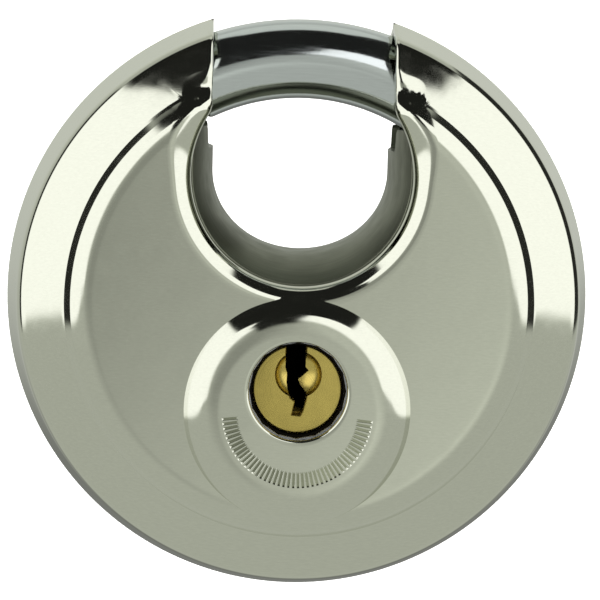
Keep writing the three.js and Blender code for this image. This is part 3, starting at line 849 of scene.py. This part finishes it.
def spring_points(low, high):
    """A round wire along a helix about a vertical line: the wire's circle lies across the helix, in the
    plane of the radius and z."""
    radius = (high[0] - low[0]) / 2 - SPRING_WIRE
    centre = (low + high) / 2
    steps = int(SPRING_TURNS * ROWS_PER_TURN)
    turn = np.linspace(0, 2 * np.pi * SPRING_TURNS, steps)[:, None]
    angle = np.linspace(0, 2 * np.pi, WIRE_COLUMNS, endpoint=False)
    reach = radius + SPRING_WIRE * np.cos(angle)
    first, last = high[2] - SPRING_WIRE, low[2] + SPRING_WIRE
    height = first + (last - first) * turn / turn[-1] + SPRING_WIRE * np.sin(angle)
    x = centre[0] + reach * np.cos(turn)
    y = centre[1] + reach * np.sin(turn)
    return np.stack([x, y, height - CENTRE_Z], axis=-1)


class PADLOCK_OT_springs(bpy.types.Operator):
    """Winds the four pin springs"""

    bl_idname = "padlock.springs"
    bl_label = "Pin springs"

    def execute(self, context):
        wire = bright_wire()
        for number in range(1, 5):
            low, high = node_box(f"pin_spring_{number}")
            points = spring_points(low, high)
            spring = new_object(f"coil_spring_{number}", points, tube_faces(*points.shape[:2]))
            smooth(spring)
            settle(spring, "case", "spring_wire", wire, f"pin_spring_{number}")
            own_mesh(spring)
        return {"FINISHED"}


# ---------------------------------------------------------------------------------------------
# Finishes


def add_node(tree, kind, settings=None, inputs=None):
    """Adds a node, sets its properties, and fills or links its inputs."""
    made = tree.nodes.new(kind)
    for name, value in (settings or {}).items():
        setattr(made, name, value)
    for name, value in (inputs or {}).items():
        if isinstance(value, bpy.types.NodeSocket):
            tree.links.new(value, made.inputs[name])
        else:
            made.inputs[name].default_value = value
    return made


def new_material(name, colour, metallic, roughness):
    """A material with a Principled shader, and its tree, shader and object coordinates."""
    material = bpy.data.materials.new(name)
    material.use_nodes = True
    tree = material.node_tree
    shader = tree.nodes["Principled BSDF"]
    shader.inputs["Base Color"].default_value = to_linear(colour)
    shader.inputs["Metallic"].default_value = metallic
    shader.inputs["Roughness"].default_value = roughness
    place = add_node(tree, "ShaderNodeTexCoord").outputs["Object"]
    return material, tree, shader, place


def streaks(tree, place, per_mm, detail=3.0, turn=(0, 0, 0), centre=(0, 0, 0)):
    """Noise stretched by a different number of features a millimetre along x, y and z."""
    mapping = add_node(
        tree,
        "ShaderNodeMapping",
        {"vector_type": "TEXTURE"},
        {
            "Vector": place,
            "Location": centre,
            "Rotation": turn,
            "Scale": [1 / (MM * s) for s in per_mm],
        },
    )
    noise = add_node(
        tree, "ShaderNodeTexNoise", None, {"Vector": mapping.outputs[0], "Scale": 1.0, "Detail": detail}
    )
    return noise.outputs["Fac"]


def spread(tree, value, low, high, span=(0.3, 0.7)):
    """A noise value carried to a range."""
    carried = add_node(
        tree,
        "ShaderNodeMapRange",
        None,
        {"Value": value, "From Min": span[0], "From Max": span[1], "To Min": low, "To Max": high},
    )
    return carried.outputs["Result"]


def tinted(tree, shader, value, colour, change):
    """The base colour made lighter and darker by a share, following a value from 0 to 1."""
    dark = to_linear([c * (1 - change) for c in colour])
    light = to_linear([min(1, c * (1 + change)) for c in colour])
    mix = add_node(tree, "ShaderNodeMix", {"data_type": "RGBA"}, {0: value, 6: dark, 7: light})
    tree.links.new(mix.outputs[2], shader.inputs["Base Color"])


def bumped(tree, shader, height, distance_mm, strength=1.0, under=None):
    """Bump of a height in millimetres on a shader, over an earlier bump if one is given."""
    inputs = {"Height": height, "Distance": distance_mm / MM, "Strength": strength}
    if under is not None:
        inputs["Normal"] = under
    bump = add_node(tree, "ShaderNodeBump", None, inputs)
    tree.links.new(bump.outputs["Normal"], shader.inputs["Normal"])
    return bump.outputs["Normal"]


def sheen(tree, shader, value, low, high):
    """Roughness between two values, following a noise value."""
    tree.links.new(spread(tree, value, low, high), shader.inputs["Roughness"])


def finish(maker):
    """Makes a material once, and hands out the same one after that."""

    def once():
        """The finish's material."""
        found = bpy.data.materials.get(maker.__name__)
        return found or maker(maker.__name__, bpy.context.scene.padlock_colours)

    return once


# Painted shade in the plug's gap and keyway, in millimetres. Each pair is where it starts and where it is
# full: the distance from the plug's centre on the pieces behind it, the distance in from the plug's side, and
# the depth below its face.
PAINTED_SHADE_RING = (6.4, 6.2)
PAINTED_SHADE_SIDE = (0.06, 0.01)
PAINTED_SHADE_DEPTH = (1.5, 3.5)


@finish
def polished_stainless(name, colours):
    """Pressed stainless steel, polished on a wheel: clear but slightly soft reflections, with fine lines
    from the polishing and a faint ripple from the press."""
    material, tree, shader, place = new_material(name, colours.stainless, 1.0, 0.13)
    lines = streaks(tree, place, (0.35, 7.0, 9.0))
    ripple = streaks(tree, place, (0.22, 0.22, 0.22), detail=1.0)
    cloud = streaks(tree, place, (0.5, 0.5, 0.5))
    grain = streaks(tree, place, (1.2, 5.0, 5.0), detail=5.0)
    tinted(tree, shader, grain, colours.stainless, 0.03)
    sheen(tree, shader, cloud, 0.05, 0.11)
    under = bumped(tree, shader, ripple, 0.01)
    bumped(tree, shader, lines, 0.0004, under=under)
    return material


@finish
def satin_steel(name, colours):
    """Rolled stainless strip, left satin: broad soft reflections, with fine lines that run along it."""
    material, tree, shader, place = new_material(name, colours.satin, 1.0, 0.36)
    lines = streaks(tree, place, (0.12, 5.0, 0.12), detail=4.0)
    cloud = streaks(tree, place, (0.4, 0.8, 0.4))
    tinted(tree, shader, lines, colours.satin, 0.12)
    sheen(tree, shader, cloud, 0.3, 0.42)
    bumped(tree, shader, lines, 0.006)
    return material


@finish
def chromed_steel(name, colours):
    """Case-hardened bar, chromed: a hard mirror, with scratches along it from the hasp and fine pits."""
    material, tree, shader, place = new_material(name, colours.chrome, 1.0, 0.09)
    lines = streaks(tree, place, (0.3, 6.0, 5.0), detail=4.0)
    pits = streaks(tree, place, (3.0, 3.0, 3.0), detail=2.0)
    tinted(tree, shader, lines, colours.chrome, 0.03)
    sheen(tree, shader, lines, 0.06, 0.15)
    under = bumped(tree, shader, pits, 0.0012)
    bumped(tree, shader, lines, 0.0015, under=under)
    return material


def painted_shade_over(tree, shader, amount):
    """Painted shade over the finish: a dark colour that hides the colour and the shine where the amount is 1.
    """
    colour = shader.inputs["Base Color"]
    unshaded = colour.links[0].from_socket if colour.links else colour.default_value[:]
    grease = to_linear(bpy.context.scene.padlock_colours.grease)
    mix = add_node(tree, "ShaderNodeMix", {"data_type": "RGBA"}, {0: amount, 6: unshaded, 7: grease})
    tree.links.new(mix.outputs[2], colour)
    metal = spread(tree, amount, 1.0, 0.0, span=(0.0, 1.0))
    tree.links.new(metal, shader.inputs["Metallic"])
    tree.links.new(metal, shader.inputs["Specular IOR Level"])


def beyond(tree, value, start, end):
    """0 before the start, rising to 1 at the end."""
    return spread(tree, value, 0.0, 1.0, span=(start, end))


def depth_of(tree, place):
    """Depth along y in metres."""
    return add_node(tree, "ShaderNodeSeparateXYZ", None, {"Vector": place}).outputs["Y"]


def larger(tree, one, other):
    """The larger of two values."""
    return add_node(tree, "ShaderNodeMath", {"operation": "MAXIMUM"}, {0: one, 1: other}).outputs[0]


def ring_distance(tree, place, x, z):
    """Distance from a line along y, in millimetres."""
    moved = add_node(
        tree,
        "ShaderNodeVectorMath",
        {"operation": "MULTIPLY_ADD"},
        {0: place, 1: (MM, 0, MM), 2: (-x, 0, -z)},
    )
    length = add_node(tree, "ShaderNodeVectorMath", {"operation": "LENGTH"}, {0: moved.outputs[0]})
    return length.outputs["Value"]


@finish
def turned_brass(name, colours):
    """Brass faced on a lathe: warm, softly shining, with fine rings round the plug's centre."""
    material, tree, shader, place = new_material(name, colours.brass, 1.0, 0.26)
    distance = ring_distance(tree, place, 0.0, PLUG_Z + CENTRE_Z)
    rings = add_node(
        tree,
        "ShaderNodeTexNoise",
        {"noise_dimensions": "1D"},
        {"W": distance, "Scale": 7.0, "Detail": 3.0},
    ).outputs["Fac"]
    cloud = streaks(tree, place, (0.6, 0.6, 0.6))
    tinted(tree, shader, cloud, colours.brass, 0.06)
    sheen(tree, shader, rings, 0.22, 0.34)
    bumped(tree, shader, rings, 0.0025)
    # Painted shade: the brass is darkened deep in the keyway and at the plug's side, where shade falls in the
    # gap, and loses its shine there.
    deep = beyond(tree, depth_of(tree, place), *[(PLUG_FACE_Y + d) / MM for d in PAINTED_SHADE_DEPTH])
    side = beyond(tree, distance, *[PLUG_RADIUS - d for d in PAINTED_SHADE_SIDE])
    painted_shade_over(tree, shader, larger(tree, deep, side))
    return material


@finish
def sawn_brass(name, colours):
    """Extruded brass cut to length: duller than the plug, with marks across it and darker patches."""
    material, tree, shader, place = new_material(name, colours.dull_brass, 1.0, 0.42)
    marks = streaks(tree, place, (0.4, 6.0, 4.0))
    cloud = streaks(tree, place, (0.3, 0.3, 0.3))
    tinted(tree, shader, cloud, colours.dull_brass, 0.12)
    sheen(tree, shader, marks, 0.36, 0.52)
    bumped(tree, shader, marks, 0.004)
    # Painted shade: the housing is darkened close round the plug's hole, where shade falls through the gap.
    distance = ring_distance(tree, place, 0.0, PLUG_Z + CENTRE_Z)
    painted_shade_over(tree, shader, beyond(tree, distance, *PAINTED_SHADE_RING))
    return material


@finish
def die_cast_zinc(name, colours):
    """Zinc alloy as cast: pale grey and matt, with a fine grain and flow marks."""
    material, tree, shader, place = new_material(name, colours.zinc, 1.0, 0.55)
    grain = streaks(tree, place, (4.0, 4.0, 4.0), detail=4.0)
    flow = streaks(tree, place, (0.15, 0.5, 0.3))
    tinted(tree, shader, flow, colours.zinc, 0.1)
    sheen(tree, shader, grain, 0.48, 0.64)
    bumped(tree, shader, grain, 0.012)
    return material


@finish
def hardened_steel(name, colours):
    """Hardened and blackened steel: dark, with a ground grain and lighter rubbed spots."""
    material, tree, shader, place = new_material(name, colours.hardened, 1.0, 0.36)
    grind = streaks(tree, place, (5.0, 0.5, 0.5))
    rubbed = streaks(tree, place, (0.6, 0.6, 0.6), detail=4.0)
    tinted(tree, shader, rubbed, colours.hardened, 0.18)
    sheen(tree, shader, rubbed, 0.3, 0.46)
    bumped(tree, shader, grind, 0.004)
    # Painted shade: the drill guard and other pieces behind the plug are darkened close round its hole, where
    # shade falls through the gap.
    distance = ring_distance(tree, place, 0.0, PLUG_Z + CENTRE_Z)
    painted_shade_over(tree, shader, beyond(tree, distance, *PAINTED_SHADE_RING))
    return material


@finish
def bright_wire(name, colours):
    """Drawn spring wire: bright, with die lines too fine to see one by one."""
    material, tree, shader, place = new_material(name, colours.spring, 1.0, 0.22)
    lines = streaks(tree, place, (2.0, 2.0, 8.0))
    tinted(tree, shader, lines, colours.spring, 0.08)
    sheen(tree, shader, lines, 0.18, 0.3)
    bumped(tree, shader, lines, 0.001)
    return material


def numbered(name, count):
    """Names of the copies of a repeated piece."""
    return [f"{name}_{number}" for number in range(1, count + 1)]


FINISH_OF_NODES = (
    (sawn_brass, ["cylinder_housing", "chamber_cover"]),
    (turned_brass, numbered("key_pin", 4)),
    (die_cast_zinc, ["guide_block_right", "guide_block_left", "back_plate"]),
    (hardened_steel, ["drill_guard", "shackle_rack", "drive_sector", "tail_clip"]),
    (hardened_steel, numbered("rack_rivet", 3) + numbered("plate_screw", 4) + numbered("driver_pin", 4)),
)


class PADLOCK_OT_works(bpy.types.Operator):
    """Gives the works inside the case their finishes"""

    bl_idname = "padlock.works"
    bl_label = "Works"

    def execute(self, context):
        for maker, nodes in FINISH_OF_NODES:
            for node in nodes:
                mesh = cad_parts[node].data
                mesh.materials.clear()
                mesh.materials.append(maker())
        return {"FINISHED"}


# ---------------------------------------------------------------------------------------------
# Studio

CAMERA_DISTANCE = 500.0
CAMERA_AZIMUTH = -1.6
CAMERA_ELEVATION = 5.3
CAMERA_ROLL = 1.4
CAMERA_LENS = 247.9
AIM_ASIDE = 0.38
AIM_UP = -0.47
FLOOR_DROP = 60.0
FLOOR_FRONT = -1500.0
FLOOR_HALF = 1600.0
FLOOR_GLOW = 0.8
WALL_BACK = 1400.0
WALL_BEND = 400.0
TENT_RADIUS = 2000.0
TENT_ROWS = 241
TENT_COLUMNS = 480
ROOM_TINT = (1.0, 1.03, 0.95)


def box_of(value, low, high, soft):
    """1 between low and high, falling to 0 over a soft edge on either side."""
    return smooth_step((value - low) / soft + 0.5) * smooth_step((high - value) / soft + 0.5)


def tent_glow(direction):
    """Light of the studio tent by direction from the lock: neutral on the cards, a little green in the
    room. off is the angle from the front axis, and clock the angle round it, positive to the right."""
    x, y, z = direction.T
    off = np.degrees(np.arccos(np.clip(-y, -1, 1)))
    clock = np.degrees(np.arctan2(x, z))
    glow = np.full(len(x), 0.56)
    # Grey room straight ahead, brighter to the right and downwards.
    ahead = 1 - smooth_step((off - 10) / 14)
    room = 0.5 + 2.0 * np.clip(x, -0.06, 0.1) - 1.8 * (np.clip(z, -0.15, -0.085) + 0.1)
    glow = glow + ahead * (room - glow)
    # Black flag overhead, cut slantwise: it leaves a wedge of light near the front axis on the right, and
    # a light ceiling straight above.
    flag_right = np.interp(off, [15, 36, 42, 46], [6, 9, 26, 38])
    flag_left = np.interp(off, [30, 38, 44, 48], [-34, -28, -36, -42])
    flag_end = np.interp(np.abs(clock), [12, 20], [95, 107])
    flag = box_of(clock, flag_left, flag_right, 3) * box_of(off, 13, flag_end, 5)
    # White cards on the left and the right, down to just under the horizon line.
    right = box_of(clock, flag_right, 98.5, 3) * box_of(off, 17, 97, 4)
    left = box_of(clock, -101.5, flag_left, 3) * box_of(off, 20, 102, 4)
    # Dark gaps between the cards and the backdrop.
    gap = box_of(off, 98, 140, 4) * box_of(clock, 38, 100, 3)
    gap = gap + box_of(off, 102, 118, 4) * box_of(clock, -102, -44, 3)
    # Backdrop, darker towards the ground.
    behind = smooth_step((off - 122) / 22)
    back = np.interp(z, [-0.52, -0.37, -0.24, -0.13, 0.1, 0.5], [0.23, 0.33, 0.48, 0.54, 0.66, 0.72])
    glow = glow + behind * (back - glow)
    under = box_of(z, -0.6, -0.05, 0.1) * box_of(x, -0.3, 0.3, 0.2) * behind
    glow = glow - under * (glow - 0.2)
    ceiling = box_of(off, 93, 122, 6) * box_of(clock, -20, 20, 4)
    glow = glow + ceiling * (0.75 - glow)
    card = np.clip(right + left, 0, 1)
    glow = glow + card * (1.5 - glow)
    glow = glow * (1 - 0.97 * flag) * (1 - 0.95 * gap)
    tint = np.array(ROOM_TINT) + card[:, None] * (1 - np.array(ROOM_TINT))
    return np.column_stack([glow[:, None] * tint, np.ones(len(x))])


def sphere_points(radius, rows, columns):
    """Directions of a sphere's grid, pole to pole, and its points."""
    lat = np.linspace(0, np.pi, rows)[:, None]
    lon = np.linspace(0, 2 * np.pi, columns, endpoint=False)
    ones = np.ones_like(lon)
    direction = np.stack([np.sin(lat) * np.cos(lon), np.sin(lat) * np.sin(lon), np.cos(lat) * ones], axis=-1)
    return direction.reshape(-1, 3), direction * radius


def build_tent():
    """The studio tent: a shell of light that only reflections see, so that it never hides the lock."""
    direction, points = sphere_points(TENT_RADIUS, TENT_ROWS, TENT_COLUMNS)
    mesh = bpy.data.meshes.new("studio_tent")
    quads = grid_quads(TENT_ROWS, TENT_COLUMNS, close_columns=True).tolist()
    mesh.from_pydata(placed(points).tolist(), [], quads)
    glow = mesh.attributes.new("glow", "FLOAT_COLOR", "POINT")
    glow.data.foreach_set("color", tent_glow(direction).astype(np.float32).ravel())
    tent = bpy.data.objects.new("studio_tent", mesh)
    bpy.context.scene.collection.objects.link(tent)
    material = bpy.data.materials.new("tent_glow")
    material.use_nodes = True
    tree = material.node_tree
    tree.nodes.clear()
    level = add_node(tree, "ShaderNodeAttribute", {"attribute_name": "glow"}).outputs["Color"]
    light = add_node(tree, "ShaderNodeEmission", None, {"Color": level, "Strength": 1.0})
    out = add_node(tree, "ShaderNodeOutputMaterial")
    tree.links.new(light.outputs[0], out.inputs["Surface"])
    material.cycles.emission_sampling = "NONE"
    mesh.materials.append(material)
    tent.visible_camera = False
    return tent


def build_floor():
    """A pale sweep: a floor that curves up into a wall behind the lock."""
    low = -DISC_RADIUS - FLOOR_DROP
    bend = WALL_BEND
    turn = np.radians(np.linspace(0, 90, 24))
    curve = [(WALL_BACK - bend + bend * math.sin(t), low + bend * (1 - math.cos(t))) for t in turn]
    profile = np.array([(FLOOR_FRONT, low), *curve, (WALL_BACK, low + FLOOR_HALF)])
    across = (-FLOOR_HALF, FLOOR_HALF)
    points = np.array([(x, y, z) for y, z in profile for x in across])
    mesh = bpy.data.meshes.new("studio_floor")
    mesh.from_pydata(placed(points).tolist(), [], grid_quads(len(profile), 2).tolist())
    floor = bpy.data.objects.new("studio_floor", mesh)
    bpy.context.scene.collection.objects.link(floor)
    colour = bpy.context.scene.padlock_colours.floor
    material, _, shader, _ = new_material("pale_paper", colour, 0.0, 0.9)
    shader.inputs["Emission Color"].default_value = (1, 1, 1, 1)
    shader.inputs["Emission Strength"].default_value = FLOOR_GLOW
    mesh.materials.append(material)
    floor.visible_glossy = False
    smooth(floor, 60)
    return floor


def build_camera():
    """The camera on its ring round the disc's centre, rolled a little about its own axis."""
    azimuth, elevation = math.radians(CAMERA_AZIMUTH), math.radians(CAMERA_ELEVATION)
    back = np.array(
        [
            math.sin(azimuth) * math.cos(elevation),
            -math.cos(azimuth) * math.cos(elevation),
            math.sin(elevation),
        ]
    )
    right = np.array([math.cos(azimuth), math.sin(azimuth), 0.0])
    up = np.cross(back, right)
    roll = math.radians(CAMERA_ROLL)
    turned_right = right * math.cos(roll) + up * math.sin(roll)
    turned_up = up * math.cos(roll) - right * math.sin(roll)
    place = back * CAMERA_DISTANCE + right * AIM_ASIDE + up * AIM_UP
    data = bpy.data.cameras.new("camera")
    data.lens = CAMERA_LENS
    data.sensor_width = 36.0
    data.clip_start, data.clip_end = 0.02, 20.0
    camera = bpy.data.objects.new("camera", data)
    bpy.context.scene.collection.objects.link(camera)
    matrix = np.eye(4)
    matrix[:3, 0], matrix[:3, 1], matrix[:3, 2] = turned_right, turned_up, back
    matrix[:3, 3] = placed(place)[0]
    camera.matrix_world = Matrix(matrix.tolist())
    bpy.context.scene.camera = camera


class PADLOCK_OT_studio(bpy.types.Operator):
    """Sets up the pale floor, the studio tent, the light and the camera"""

    bl_idname = "padlock.studio"
    bl_label = "Studio"

    def execute(self, context):
        build_tent()
        build_floor()
        world = bpy.data.worlds.new("studio")
        world.use_nodes = True
        world.node_tree.nodes["Background"].inputs["Color"].default_value = (1, 1, 1, 1)
        context.scene.world = world
        context.scene.view_settings.view_transform = "Standard"
        build_camera()
        return {"FINISHED"}


# ---------------------------------------------------------------------------------------------
# Panel and registration

OPERATORS = (
    PADLOCK_OT_rear_cup,
    PADLOCK_OT_front_cup,
    PADLOCK_OT_liner,
    PADLOCK_OT_shackle,
    PADLOCK_OT_plug,
    PADLOCK_OT_springs,
    PADLOCK_OT_works,
    PADLOCK_OT_studio,
)


class PADLOCK_PT_panel(bpy.types.Panel):
    """Lists the padlock's sizes, colours and pieces"""

    bl_label = "Disc padlock"
    bl_idname = "PADLOCK_PT_panel"
    bl_space_type = "VIEW_3D"
    bl_region_type = "UI"
    bl_category = "Padlock"

    def draw(self, context):
        for group in (context.scene.padlock_sizes, context.scene.padlock_colours):
            box = self.layout.box()
            for name in group.__annotations__:
                box.prop(group, name)
        for operator in OPERATORS:
            self.layout.operator(operator.bl_idname)


CLASSES = (PadlockSizes, PadlockColours, *OPERATORS, PADLOCK_PT_panel)


def register():
    """Adds the classes, and the sizes and colours that the scene keeps."""
    for kind in CLASSES:
        bpy.utils.register_class(kind)
    bpy.types.Scene.padlock_sizes = bpy.props.PointerProperty(type=PadlockSizes)
    bpy.types.Scene.padlock_colours = bpy.props.PointerProperty(type=PadlockColours)


def unregister():
    """Takes away what register() added."""
    del bpy.types.Scene.padlock_sizes
    del bpy.types.Scene.padlock_colours
    for kind in reversed(CLASSES):
        bpy.utils.unregister_class(kind)


def main():
    """Builds every piece in order."""
    register()
    for operator in OPERATORS:
        group, name = operator.bl_idname.split(".")
        getattr(getattr(bpy.ops, group), name)()


if __name__ == "__main__":
    main()
